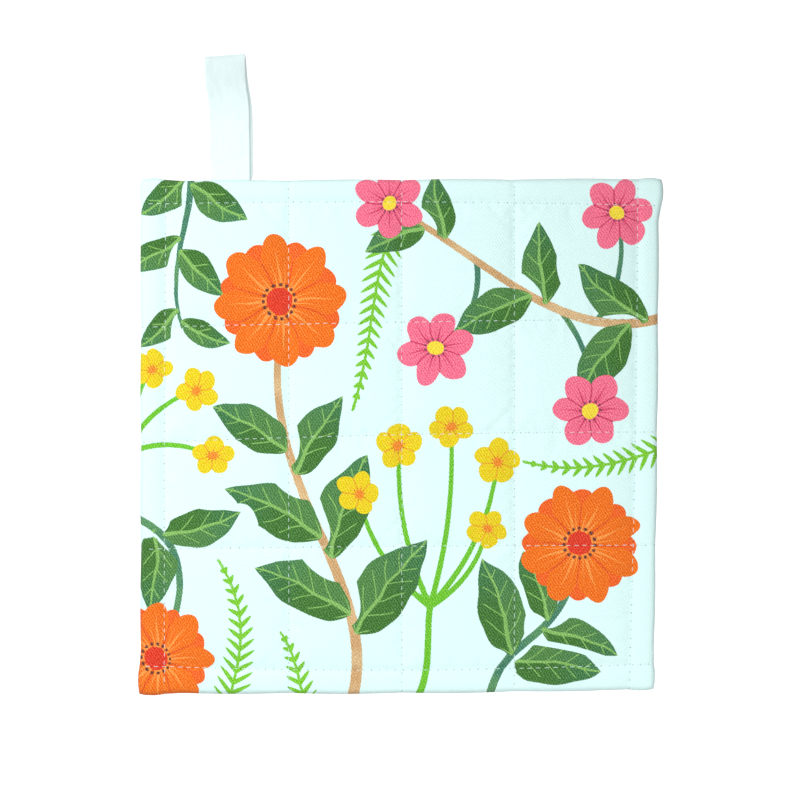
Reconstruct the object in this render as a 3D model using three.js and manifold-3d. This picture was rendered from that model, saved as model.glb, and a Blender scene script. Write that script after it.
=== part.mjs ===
// A quilted square pot holder with a folded tape loop at its top left, lying face up on a table.
// Millimetres, +Z up. +Y points to the edge that carries the loop, +X to the right of the face.

import * as THREE from 'three';
import { mergeVertices } from 'three/addons/utils/BufferGeometryUtils.js';
import Module from 'manifold-3d';

// Plan of the pad, from its middle. Each line is a gentle bow through three points.
const HALF_SIDE = 100;
const COLUMNS = [
  { line: 'left edge', bottom: -100.1, middle: -100.1, top: -100.0 },
  { line: 'stitching 1', bottom: -90.9, middle: -90.9, top: -90.3 },
  { line: 'stitching 2', bottom: -42.7, middle: -42.8, top: -42.9 },
  { line: 'stitching 3', bottom: 1.0, middle: 1.0, top: 0.9 },
  { line: 'stitching 4', bottom: 44.6, middle: 44.6, top: 44.5 },
  { line: 'stitching 5', bottom: 89.0, middle: 91.4, top: 92.4 },
  { line: 'right edge', bottom: 98.2, middle: 99.9, top: 100.4 },
];
const ROWS = [
  { line: 'bottom edge', left: -99.5, middle: -99.7, right: -98.0 },
  { line: 'stitching 1', left: -89.0, middle: -90.7, right: -88.2 },
  { line: 'stitching 2', left: -43.9, middle: -42.8, right: -42.4 },
  { line: 'stitching 3', left: -2.7, middle: 0.4, right: 1.5 },
  { line: 'stitching 4', left: 42.0, middle: 44.0, right: 45.2 },
  { line: 'stitching 5', left: 89.7, middle: 90.6, right: 89.1 },
  { line: 'top edge', left: 98.6, middle: 99.2, right: 99.5 },
];
const LAST_BAND = COLUMNS.length - 2;
const MIDDLE_LEVEL = (COLUMNS.length - 1) / 2;
const SQUARE_SIDE = 45;
const MARGIN = 10;

// Turned-out corners: how far each pokes out along x and y, and how far its tip is rounded back
const CORNERS = {
  bottom: {
    left: { pokeX: 1.2, pokeY: 0.8, turn: 0.25 },
    right: { pokeX: 0.4, pokeY: 0.1, turn: 0.4 },
  },
  top: {
    left: { pokeX: 0.2, pokeY: 0.9, turn: 0.25 },
    right: { pokeX: 1.7, pokeY: 0.2, turn: 0.6 },
  },
};
const POKE_FLAT = 4;
const POKE_REACH = 15;
const TURN_REACH = 2.5;

// Where the surface is sampled, as a share of a band from its first line
const SQUARE_STEPS = [0, 0.035, 0.11, 0.27, 0.5, 0.73, 0.89, 0.965];
const MARGIN_STEPS = [0, 0.05, 0.14, 0.26, 0.52, 0.8];

// Heights and soft forms of the pad
const SEAM_HEIGHT = 1.9;
const STITCHED_TOP = 3.7;
const CROWN_TOP = 5.0;
const CROWN_VARIATION = 0.07;
const CROWN_PHASE = { column: 2.1, row: 3.7 };
const MARGIN_LOFT = 0.4;
const ALLOWANCE_RISE = 0.7;
const ALLOWANCE_SHOULDER = 3;
const PUFF_SHOULDER = 3;
const UNDERSIDE_RISE = 0.9;
const UNDERSIDE_GROOVE = 3;
const EDGE_ROUND = 2.6;
const EDGE_BULGE = 0.4;

// Hanging loop: one tape, folded over, both ends side by side in the top seam
const TAPE_WIDTH = 15.5;
const TAPE_THICKNESS = 0.9;
const LOOP_X = -65.4;
const LOOP_REACH = 48.4;
const LOOP_LEAN = -0.01;
const LOOP_BEND = { shift: -1.4, from: 26, to: 42 };
const LOOP_HEIGHT = 7.4;
const LAY_DOWN = 10;
const FOLD_NOSE = 6.4;
const FOLD_SEGMENTS = 7;
const CROTCH = 2;
const LOWER_SLIP = { shift: 1.2, from: 1, to: 5 };
const SLIP_FADE = 6;
const FOLD_SLANT = 1.1;
const FOLD_SLANT_RUN = 9;
const WIDTH_STRIPS = 5;
const TAIL = 6;
const POCKET_CLEARANCE = 0.3;
const POCKET_SIDE_CLEARANCE = 0.5;
const POCKET_MOUTH = 3;
const LAYER_STATIONS = [2, 5, 10, 16, 22, 28, 34, 38];

const CLOTH = { color: 0xeefbf9, roughness: 0.9, metalness: 0 };
const TAPE = { color: 0xf3fcfb, roughness: 0.85, metalness: 0 };

const { lerp, smoothstep, clamp } = THREE.MathUtils;

// Bow through its values at -1, 0 and 1
function bow(first, middle, last, place) {
  const slope = (last - first) / 2;
  const bend = (last + first) / 2 - middle;
  return middle + slope * place + bend * place * place;
}

function columnX(level, y) {
  const band = Math.min(Math.floor(level), LAST_BAND);
  const [from, to] = [COLUMNS[band], COLUMNS[band + 1]]
    .map(({ bottom, middle, top }) => bow(bottom, middle, top, y / HALF_SIDE));
  return lerp(from, to, level - band);
}

function rowY(level, x) {
  const band = Math.min(Math.floor(level), LAST_BAND);
  const [from, to] = [ROWS[band], ROWS[band + 1]]
    .map(({ left, middle, right }) => bow(left, middle, right, x / HALF_SIDE));
  return lerp(from, to, level - band);
}

// A level counts lines: 0 and 6 are the outer edges, 1 to 5 the stitching
function surfaceLevels() {
  const levels = MARGIN_STEPS.slice();
  for (let band = 1; band < LAST_BAND; band++) {
    levels.push(...SQUARE_STEPS.map((step) => band + step));
  }
  levels.push(LAST_BAND);
  levels.push(...MARGIN_STEPS.map((step) => LAST_BAND + 1 - step).reverse());
  return levels;
}

function isMargin(level) {
  return level < 1 || level > LAST_BAND;
}

function distanceFromEdge(level) {
  const linesIn = Math.min(level, LAST_BAND + 1 - level);
  return MARGIN * Math.min(linesIn, 1) + SQUARE_SIDE * Math.max(0, linesIn - 1);
}

function distanceFromStitching(level) {
  if (isMargin(level)) return MARGIN - distanceFromEdge(level);
  return SQUARE_SIDE * Math.abs(level - Math.round(level));
}

// How full the filling stands: 0 at the stitching, nearly 1 beyond a soft shoulder
function fullness(level) {
  return Math.tanh(distanceFromStitching(level) / PUFF_SHOULDER);
}

// Round turned edge: 0 at the seam, 1 where the pad has its full thickness
function edgeShare(level) {
  const inset = Math.min(1, distanceFromEdge(level) / EDGE_ROUND);
  return Math.sqrt(1 - (1 - inset) ** 2);
}

function squareCrown(columnLevel, rowLevel) {
  const loft = isMargin(columnLevel) || isMargin(rowLevel) ? MARGIN_LOFT : 1;
  const phase = CROWN_PHASE.column * Math.floor(columnLevel) + CROWN_PHASE.row * Math.floor(rowLevel);
  return (CROWN_TOP - STITCHED_TOP) * loft * (1 + CROWN_VARIATION * Math.sin(phase));
}

// The seam allowance folded inside thickens the margin outside the stitching
function allowance(columnLevel, rowLevel) {
  const outward = MARGIN - Math.min(distanceFromEdge(columnLevel), distanceFromEdge(rowLevel));
  return ALLOWANCE_RISE * Math.tanh(Math.max(0, outward) / ALLOWANCE_SHOULDER);
}

function topHeight(columnLevel, rowLevel) {
  const puff = squareCrown(columnLevel, rowLevel) * fullness(columnLevel) * fullness(rowLevel);
  const edge = edgeShare(columnLevel) * edgeShare(rowLevel);
  return lerp(SEAM_HEIGHT, STITCHED_TOP + puff + allowance(columnLevel, rowLevel), edge);
}

function bottomHeight(columnLevel, rowLevel) {
  const nearest = Math.min(distanceFromStitching(columnLevel), distanceFromStitching(rowLevel));
  const groove = Math.max(0, 1 - nearest / UNDERSIDE_GROOVE) ** 2;
  const edge = edgeShare(columnLevel) * edgeShare(rowLevel);
  return lerp(SEAM_HEIGHT, UNDERSIDE_RISE * groove, edge);
}

// 1 at an edge, 0 from the first line of stitching on
function edgeFade(level) {
  return Math.max(0, 1 - distanceFromEdge(level) / MARGIN);
}

function cornerFade(level) {
  return 1 - smoothstep(distanceFromEdge(level), POKE_FLAT, POKE_REACH);
}

function tipFade(level) {
  return Math.max(0, 1 - distanceFromEdge(level) / TURN_REACH);
}

// The edges swell a little between stitching ends, and the corners poke out
function planPoint(columnLevel, rowLevel) {
  let x = columnX(columnLevel, 0);
  let y = rowY(rowLevel, x);
  x = columnX(columnLevel, y);
  y = rowY(rowLevel, x);
  const [sideX, sideY] = [columnLevel, rowLevel].map((level) => Math.sign(level - MIDDLE_LEVEL));
  const { pokeX, pokeY, turn } = CORNERS[sideY < 0 ? 'bottom' : 'top'][sideX < 0 ? 'left' : 'right'];
  const swellX = EDGE_BULGE * Math.abs(Math.sin(Math.PI * rowLevel)) + pokeX * cornerFade(rowLevel);
  const swellY = EDGE_BULGE * Math.abs(Math.sin(Math.PI * columnLevel)) + pokeY * cornerFade(columnLevel);
  const tip = turn * tipFade(columnLevel) * tipFade(rowLevel);
  return {
    x: x + sideX * (edgeFade(columnLevel) * swellX - tip),
    y: y + sideY * (edgeFade(rowLevel) * swellY - tip),
  };
}

// Closed skin of the pad: two quilted faces that meet along the edge seam
function padGeometry() {
  const levels = surfaceLevels();
  const count = levels.length;
  const positions = [];
  const triangles = [];
  for (const [face, height] of [topHeight, bottomHeight].entries()) {
    for (const rowLevel of levels) {
      for (const columnLevel of levels) {
        const { x, y } = planPoint(columnLevel, rowLevel);
        positions.push(x, y, height(columnLevel, rowLevel));
      }
    }
    for (let row = 0; row < count - 1; row++) {
      for (let column = 0; column < count - 1; column++) {
        const near = face * count * count + row * count + column;
        const far = near + count;
        const quad = [near, near + 1, far + 1, near, far + 1, far];
        triangles.push(...(face === 0 ? quad : quad.reverse()));
      }
    }
  }
  const geometry = new THREE.BufferGeometry();
  geometry.setAttribute('position', new THREE.Float32BufferAttribute(positions, 3));
  geometry.setIndex(triangles);
  return geometry;
}

// Undersides and upper sides of the tape's two layers, by distance out from the seam
const TAIL_BOTTOM = SEAM_HEIGHT - TAPE_THICKNESS;
const TAIL_TOP = SEAM_HEIGHT + TAPE_THICKNESS;
const FOLD_START = LOOP_REACH - FOLD_NOSE;

function lowerUnderside(out) {
  return TAIL_BOTTOM * (1 - smoothstep(out, 0, LAY_DOWN));
}

function upperTop(out) {
  return lerp(TAIL_TOP, LOOP_HEIGHT, smoothstep(out, 0, FOLD_START));
}

// Half round of the fold, from the lower layer up to the upper one
function foldArc(inset) {
  const points = [];
  for (let step = 0; step <= FOLD_SEGMENTS; step++) {
    const turn = Math.PI * (step / FOLD_SEGMENTS - 0.5);
    const out = FOLD_START + (FOLD_NOSE - inset) * Math.cos(turn);
    const height = LOOP_HEIGHT / 2 + (LOOP_HEIGHT / 2 - inset) * Math.sin(turn);
    points.push(new THREE.Vector2(out, height));
  }
  return points;
}

function layerPoints(stations, height) {
  return stations.map((out) => new THREE.Vector2(out, height(out)));
}

function loopSection() {
  const outside = [-TAIL, 0, ...LAYER_STATIONS];
  const inside = LAYER_STATIONS.filter((out) => out > CROTCH);
  const section = new THREE.Shape([
    ...layerPoints(outside, lowerUnderside),
    ...foldArc(0),
    ...layerPoints(outside, upperTop).reverse(),
  ]);
  const crotch = new THREE.Vector2(CROTCH, (lowerUnderside(CROTCH) + upperTop(CROTCH)) / 2);
  section.holes.push(new THREE.Path([
    crotch,
    ...layerPoints(inside, (out) => lowerUnderside(out) + TAPE_THICKNESS),
    ...foldArc(TAPE_THICKNESS),
    ...layerPoints(inside, (out) => upperTop(out) - TAPE_THICKNESS).reverse(),
  ]));
  return section;
}

// The tape bends left near the fold, its lower layer has slipped right, and the fold lies aslant
function loopGeometry(seamY) {
  const geometry = new THREE.ExtrudeGeometry(loopSection(), {
    depth: TAPE_WIDTH,
    steps: WIDTH_STRIPS,
    bevelEnabled: false,
  });
  const places = geometry.attributes.position;
  for (let index = 0; index < places.count; index++) {
    const out = places.getX(index);
    const height = places.getY(index);
    const across = places.getZ(index);
    const isLower = height < (lowerUnderside(out) + upperTop(out)) / 2;
    const fade = 1 - clamp(out / LOOP_REACH, 0, 1) ** SLIP_FADE;
    const slip = isLower ? LOWER_SLIP.shift * smoothstep(out, LOWER_SLIP.from, LOWER_SLIP.to) * fade : 0;
    const slant = FOLD_SLANT * smoothstep(out, LOOP_REACH - FOLD_SLANT_RUN, LOOP_REACH);
    const lean = LOOP_LEAN * out + LOOP_BEND.shift * smoothstep(out, LOOP_BEND.from, LOOP_BEND.to);
    const x = LOOP_X - TAPE_WIDTH / 2 + across + lean + slip;
    const y = seamY + out - slant * (1 - across / TAPE_WIDTH);
    places.setXYZ(index, x, y, height);
  }
  return geometry;
}

// Room in the top seam for the tape's ends
function pocketGeometry(seamY) {
  const depth = TAIL + POCKET_CLEARANCE + POCKET_MOUTH;
  const height = 2 * (TAPE_THICKNESS + POCKET_CLEARANCE);
  const geometry = new THREE.BoxGeometry(TAPE_WIDTH + 2 * POCKET_SIDE_CLEARANCE, depth, height);
  geometry.applyMatrix4(new THREE.Matrix4().makeShear(0, 0, LOOP_LEAN, 0, 0, 0));
  const middle = POCKET_MOUTH - depth / 2;
  geometry.translate(LOOP_X + LOOP_LEAN * middle, seamY + middle, SEAM_HEIGHT);
  return geometry;
}

const wasm = await Module();
wasm.setup();

function toSolid(geometry) {
  const bare = geometry.clone();
  bare.deleteAttribute('normal');
  bare.deleteAttribute('uv');
  const merged = mergeVertices(bare);
  return new wasm.Manifold(new wasm.Mesh({
    numProp: 3,
    vertProperties: merged.attributes.position.array,
    triVerts: new Uint32Array(merged.index.array),
  }));
}

function toGeometry(solid) {
  const { vertProperties, triVerts } = solid.getMesh();
  const geometry = new THREE.BufferGeometry();
  geometry.setAttribute('position', new THREE.BufferAttribute(vertProperties, 3));
  geometry.setIndex(new THREE.BufferAttribute(triVerts, 1));
  geometry.computeVertexNormals();
  return geometry;
}

function namedMesh(name, geometry, finish) {
  const mesh = new THREE.Mesh(geometry, new THREE.MeshStandardMaterial(finish));
  mesh.name = name;
  return mesh;
}

const loopSeamY = rowY(LAST_BAND + 1, LOOP_X) + EDGE_BULGE;
const padSolid = toSolid(padGeometry()).subtract(toSolid(pocketGeometry(loopSeamY)));

const potHolder = new THREE.Group();
potHolder.add(namedMesh('quilted_pad', toGeometry(padSolid), CLOTH));
potHolder.add(namedMesh('hanging_loop', loopGeometry(loopSeamY), TAPE));

// The origin is under the middle of the whole, on the table
const reach = new THREE.Box3().setFromObject(potHolder);
const middle = reach.getCenter(new THREE.Vector3());
potHolder.position.set(-middle.x, -middle.y, -reach.min.z);

export default potHolder;
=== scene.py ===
# A quilted square pot holder of printed cotton twill, with a folded tape loop, lying on a table.
# Sizes are in millimetres from the pad's middle; meshes are made in metres, in the frame's axes.

import math

import bpy
import numpy as np
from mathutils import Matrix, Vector


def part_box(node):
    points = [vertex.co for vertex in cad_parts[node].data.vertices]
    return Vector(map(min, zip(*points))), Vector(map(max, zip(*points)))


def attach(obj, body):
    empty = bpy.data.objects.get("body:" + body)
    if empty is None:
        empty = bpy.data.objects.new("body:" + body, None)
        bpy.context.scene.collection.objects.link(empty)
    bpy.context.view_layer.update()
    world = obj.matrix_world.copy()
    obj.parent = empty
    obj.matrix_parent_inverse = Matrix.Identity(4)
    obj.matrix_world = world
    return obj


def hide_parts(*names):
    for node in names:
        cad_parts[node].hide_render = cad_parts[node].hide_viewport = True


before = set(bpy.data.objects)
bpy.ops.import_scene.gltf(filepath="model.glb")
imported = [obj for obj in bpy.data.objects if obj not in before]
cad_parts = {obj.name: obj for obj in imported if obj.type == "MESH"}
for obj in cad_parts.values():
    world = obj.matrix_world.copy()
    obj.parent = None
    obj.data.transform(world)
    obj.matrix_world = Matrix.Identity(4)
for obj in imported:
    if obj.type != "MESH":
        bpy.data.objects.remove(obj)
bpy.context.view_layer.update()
MM = 0.001
rng = np.random.default_rng(7)

# Lines of the plan: an edge, five lines of stitching and an edge, each a gentle bow.
# Columns are given at the bottom, middle and top, rows at the left, middle and right.
HALF_SIDE = 100
COLUMN_LINES = (
    (-100.1, -100.1, -100.0),
    (-90.9, -90.9, -90.3),
    (-42.7, -42.8, -42.9),
    (1.0, 1.0, 0.9),
    (44.6, 44.6, 44.5),
    (89.0, 91.4, 92.4),
    (98.2, 99.9, 100.4),
)
ROW_LINES = (
    (-99.5, -99.7, -98.0),
    (-89.0, -90.7, -88.2),
    (-43.9, -42.8, -42.4),
    (-2.7, 0.4, 1.5),
    (42.0, 44.0, 45.2),
    (89.7, 90.6, 89.1),
    (98.6, 99.2, 99.5),
)
EDGE_LEVEL = len(COLUMN_LINES) - 1
LAST_STITCHING = EDGE_LEVEL - 1
SQUARE_SIDE = 45
MARGIN = 10

# Corners, bottom then top, left then right: poke out along x, along y, and rounding back of the tip
CORNERS = (
    ((0.9, 0.8, 0.15), (0.5, 0.3, 0.1)),
    ((0.2, 0.9, 0.2), (1.7, 0.2, 0.3)),
)
POKE_FLAT = 6
POKE_REACH = 18
TURN_REACH = 2.5

# Heights and soft forms of the pad
SEAM_HEIGHT = 1.9
STITCHED_TOP = 3.7
CROWN_TOP = 5.0
CROWN_VARIATION = 0.07
CROWN_PHASE = (2.1, 3.7)
MARGIN_LOFT = 0.4
PUFF_SHOULDER = 3
WADDING_GIVE = 1.9
UNDERSIDE_RISE = 0.9
UNDERSIDE_GROOVE = 3
ALLOWANCE_RISE = 0.7
ALLOWANCE_SHOULDER = 3
EDGE_ROUND = 2.6
EDGE_BULGE = 0.4

# Cells of the cloth: the margin's rings by distance from the edge, then even cells in each square
MARGIN_RINGS = (0, 0.7, 2.0, 4.3, 7.0)
SQUARE_CELLS = 20
FINE = 3

# Place and size of each face on the cloth's flat map
MAP_FRONT = (0.005, 0.74)
MAP_BACK = (0.755, 0.24)

# Swelling of the pad, worked out at three times its size
START_LOFT = 0.6
SIM_SCALE = 0.003
SIM_FRAMES = 20
SIM_QUALITY = 5
SIM_DAMPING = 4
SIM_PRESSURE = 4
SIM_EXCESS = 0.012
SIM_BENDING = 2
SIM_CAP = 4.5

# Quilting thread
STITCH_PITCH = 3.16
STITCH_SHARE = 0.74
STITCH_STAGGER = 0.37
THREAD_THICK = 0.23
GROOVE_DEPTH = 0.2
GROOVE_WIDTH = 0.85
GROOVE_WAVER = 0.2
HOLE_RADIUS = 0.3
# Uneven feed of the stitches along a line: amount, length, shift from line to line
STITCH_DRIFT = ((0.35, 9.0, 2.4), (0.2, 3.7, 1.0))


def smoothstep(value, low, high):
    share = np.clip((value - low) / (high - low), 0, 1)
    return share * share * (3 - 2 * share)


def bow(line, place):
    first, middle, last = line
    return middle + (last - first) / 2 * place + ((last + first) / 2 - middle) * place ** 2


# Where a level runs: whole levels are the lines of the plan, others lie between them
def level_place(lines, level, place):
    lines = np.array(lines)
    band = np.minimum(np.floor(level).astype(int), EDGE_LEVEL - 1)
    start = bow(np.moveaxis(lines[band], -1, 0), place)
    end = bow(np.moveaxis(lines[band + 1], -1, 0), place)
    return start + (end - start) * (level - band)


def is_margin(level):
    return (level < 1) | (level > LAST_STITCHING)


def edge_distance(level):
    lines_in = np.minimum(level, EDGE_LEVEL - level)
    return MARGIN * np.minimum(lines_in, 1) + SQUARE_SIDE * np.maximum(0, lines_in - 1)


def stitching_distance(level):
    inside = SQUARE_SIDE * np.abs(level - np.round(level))
    return np.where(is_margin(level), MARGIN * (1 - np.minimum(level, EDGE_LEVEL - level)), inside)


# 1 at an edge, 0 from the first line of stitching on
def edge_fade(level):
    return np.maximum(0, 1 - edge_distance(level) / MARGIN)


def corner_fade(level):
    return 1 - smoothstep(edge_distance(level), POKE_FLAT, POKE_REACH)


def tip_fade(level):
    return np.maximum(0, 1 - edge_distance(level) / TURN_REACH)


# Plan of the cloth: edges swell a little between stitching ends, and the corners poke out
def plan(column, row):
    x = level_place(COLUMN_LINES, column, 0 * column)
    y = level_place(ROW_LINES, row, x / HALF_SIDE)
    x = level_place(COLUMN_LINES, column, y / HALF_SIDE)
    y = level_place(ROW_LINES, row, x / HALF_SIDE)
    side_x, side_y = np.sign(column - EDGE_LEVEL / 2), np.sign(row - EDGE_LEVEL / 2)
    corner = np.array(CORNERS)[(side_y > 0).astype(int), (side_x > 0).astype(int)]
    poke_x, poke_y, turn = np.moveaxis(corner, -1, 0)
    swell_x = EDGE_BULGE * np.abs(np.sin(np.pi * row)) + poke_x * corner_fade(row)
    swell_y = EDGE_BULGE * np.abs(np.sin(np.pi * column)) + poke_y * corner_fade(column)
    tip = turn * tip_fade(column) * tip_fade(row)
    x = x + side_x * (edge_fade(column) * swell_x - tip)
    y = y + side_y * (edge_fade(row) * swell_y - tip)
    return x, y


def fullness(level):
    return np.tanh(stitching_distance(level) / PUFF_SHOULDER)


def edge_share(level):
    inset = np.minimum(1, edge_distance(level) / EDGE_ROUND)
    return np.sqrt(1 - (1 - inset) ** 2)


def crown(column, row):
    loft = np.where(is_margin(column) | is_margin(row), MARGIN_LOFT, 1)
    phase = CROWN_PHASE[0] * np.floor(column) + CROWN_PHASE[1] * np.floor(row)
    return (CROWN_TOP - STITCHED_TOP) * loft * (1 + CROWN_VARIATION * np.sin(phase))


def top_height(column, row, loft):
    puff = loft * crown(column, row) * fullness(column) * fullness(row)
    edge = edge_share(column) * edge_share(row)
    return SEAM_HEIGHT + (STITCHED_TOP + puff - SEAM_HEIGHT) * edge


def bottom_height(column, row):
    nearest = np.minimum(stitching_distance(column), stitching_distance(row))
    groove = UNDERSIDE_RISE * np.maximum(0, 1 - nearest / UNDERSIDE_GROOVE) ** 2
    edge = edge_share(column) * edge_share(row)
    return SEAM_HEIGHT + (groove - SEAM_HEIGHT) * edge


# The seam allowance turned inside thickens the margin towards the edge
def allowance(column, row):
    outward = MARGIN - np.minimum(edge_distance(column), edge_distance(row))
    rise = ALLOWANCE_RISE * np.tanh(np.maximum(0, outward) / ALLOWANCE_SHOULDER)
    return rise * edge_share(column) * edge_share(row)


def cloth_levels():
    rings = np.array(MARGIN_RINGS) / MARGIN
    squares = np.arange(SQUARE_CELLS * (LAST_STITCHING - 1)) / SQUARE_CELLS + 1
    return np.concatenate([rings, squares, [LAST_STITCHING], EDGE_LEVEL - rings[::-1]])


LEVELS = cloth_levels()
COUNT = len(LEVELS)
FINE_COUNT = FINE * (COUNT - 1) + 1
FINE_LEVELS = np.interp(np.arange(FINE_COUNT) / FINE, np.arange(COUNT), LEVELS)
LINE_CELLS = [len(MARGIN_RINGS) + SQUARE_CELLS * line for line in range(LAST_STITCHING)]


# The plan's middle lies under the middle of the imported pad
def frame_offset():
    x, y = plan(*np.meshgrid(FINE_LEVELS, FINE_LEVELS))
    low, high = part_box("quilted_pad")
    return np.array([
        (low[0] + high[0]) / 2 / MM - (x.min() + x.max()) / 2,
        (low[1] + high[1]) / 2 / MM - (y.min() + y.max()) / 2,
        0,
    ])


OFFSET = frame_offset()


def in_frame(points):
    return (np.asarray(points).reshape(-1, 3) + OFFSET) * MM


def new_mesh(name, points, faces):
    mesh = bpy.data.meshes.new(name)
    mesh.from_pydata(in_frame(points).tolist(), [], faces)
    mesh.shade_smooth()
    piece = bpy.data.objects.new(name, mesh)
    bpy.context.collection.objects.link(piece)
    return piece


def give_vectors(piece, name, vectors):
    attribute = piece.data.attributes.new(name, "FLOAT_VECTOR", "POINT")
    attribute.data.foreach_set("vector", np.asarray(vectors, dtype=np.float32).ravel())


def grid_faces(index):
    near, far = index[:-1], index[1:]
    corners = [near[:, :-1], near[:, 1:], far[:, 1:], far[:, :-1]]
    return np.stack(corners, axis=-1).reshape(-1, 4).tolist()


# Two faces of cloth on one grid of levels, joined along the seam round the edge
def flat_pad(loft):
    column, row = np.meshgrid(LEVELS, LEVELS)
    x, y = plan(column, row)
    front = np.stack([x, y, top_height(column, row, loft)], axis=-1)
    back = np.stack([x, y, bottom_height(column, row)], axis=-1)
    return front, back


def seam_mask():
    mask = np.zeros((COUNT, COUNT), dtype=bool)
    mask[[0, -1]] = True
    mask[:, [0, -1]] = True
    return mask


# The filling swells both faces between the lines, which the thread holds
def swell(front, back):
    index = np.arange(COUNT * COUNT).reshape(COUNT, COUNT)
    seam = seam_mask()
    back_index = np.where(seam, index, 0)
    back_index[~seam] = COUNT * COUNT + np.arange((~seam).sum())
    points = np.concatenate([front.reshape(-1, 3), back[~seam]])
    faces = grid_faces(index) + [face[::-1] for face in grid_faces(back_index)]
    mesh = bpy.data.meshes.new("swelling")
    mesh.from_pydata((points * SIM_SCALE).tolist(), [], faces)
    bag = bpy.data.objects.new("swelling", mesh)
    bpy.context.collection.objects.link(bag)

    held = seam.copy()
    held[LINE_CELLS] = True
    held[:, LINE_CELLS] = True
    pins = bag.vertex_groups.new(name="sewn")
    pins.add(np.union1d(index[held], back_index[held]).tolist(), 1.0, "REPLACE")

    column, row = np.meshgrid(LEVELS, LEVELS)
    rim = is_margin(column) | is_margin(row)
    margin = bag.vertex_groups.new(name="margin")
    margin.add(np.union1d(index[rim], back_index[rim]).tolist(), 1.0, "REPLACE")

    cloth = bag.modifiers.new("Cloth", "CLOTH")
    cloth.settings.quality = SIM_QUALITY
    cloth.settings.vertex_group_mass = "sewn"
    cloth.settings.use_pressure = True
    cloth.settings.uniform_pressure_force = SIM_PRESSURE
    cloth.settings.bending_stiffness = SIM_BENDING
    cloth.settings.shrink_min = -SIM_EXCESS
    cloth.settings.shrink_max = 0
    cloth.settings.vertex_group_shrink = "margin"
    cloth.settings.air_damping = SIM_DAMPING
    cloth.settings.effector_weights.gravity = 0
    cloth.collision_settings.use_collision = False
    cloth.point_cache.frame_end = SIM_FRAMES
    scene = bpy.context.scene
    for step in range(1, SIM_FRAMES + 1):
        scene.frame_set(step)
    swollen = bag.evaluated_get(bpy.context.evaluated_depsgraph_get()).data
    moved = np.empty(len(points) * 3)
    swollen.vertices.foreach_get("co", moved)
    moved = moved.reshape(-1, 3) / SIM_SCALE - points
    scene.frame_set(1)
    bpy.data.objects.remove(bag)
    bpy.data.meshes.remove(mesh)

    far = np.linalg.norm(moved, axis=1, keepdims=True)
    points = points + moved * (SIM_CAP / np.maximum(far, SIM_CAP))
    return points[index], points[back_index]


# The swollen faces settle: flat wadding keeps the crowns low, and the underside lies on the table
def settle(front, back):
    height = front[..., 2] - STITCHED_TOP
    level = (CROWN_TOP - STITCHED_TOP) * np.tanh(height / WADDING_GIVE)
    front[..., 2] = STITCHED_TOP + np.where(height > 0, level, height)
    back[..., 2] = np.maximum(back[..., 2], 0)
    return front, back


# Smooth curve through samples along the first axis; the first and last sample lie beyond its ends
def through_samples(samples):
    before, start, end, after = samples[:-3], samples[1:-2], samples[2:-1], samples[3:]
    steps = []
    for step in range(FINE):
        t = step / FINE
        bend = 2 * before - 5 * start + 4 * end - after
        twist = 3 * (start - end) + after - before
        steps.append(start + t * (end - before + t * (bend + t * twist)) / 2)
    runs = np.stack(steps, axis=1).reshape(-1, *samples.shape[1:])
    return np.concatenate([runs, samples[-2:-1]])


# Fine front face; past the seam the curve runs on round the edge into the back face
def refine_front(front, back):
    around = np.pad(front, ((1, 1), (1, 1), (0, 0)), mode="edge")
    around[0, 1:-1], around[-1, 1:-1] = back[1], back[-2]
    around[1:-1, 0], around[1:-1, -1] = back[:, 1], back[:, -2]
    rows = through_samples(around)
    return np.swapaxes(through_samples(np.swapaxes(rows, 0, 1)), 0, 1)


# Signed distance across the nearest line of stitching, stitches run along it, and plain distance
def stitching(lines, level, across, along):
    line = np.clip(np.round(level), 1, LAST_STITCHING)
    signed = across - level_place(lines, line, along / HALF_SIDE)
    drift = sum(amount * np.sin(along / length + shift * line) for amount, length, shift in STITCH_DRIFT)
    stitches = (along + drift) / STITCH_PITCH + STITCH_STAGGER * line
    return np.stack([signed, stitches, np.abs(signed)], axis=-1)


# Thread pulls a narrow groove, deepest where the needle went through
def sewn_in(sewing):
    narrow = np.exp(-(sewing[..., 2] / GROOVE_WIDTH) ** 2)
    return GROOVE_DEPTH * narrow * (1 - GROOVE_WAVER + GROOVE_WAVER * np.cos(2 * np.pi * sewing[..., 1]))


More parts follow.
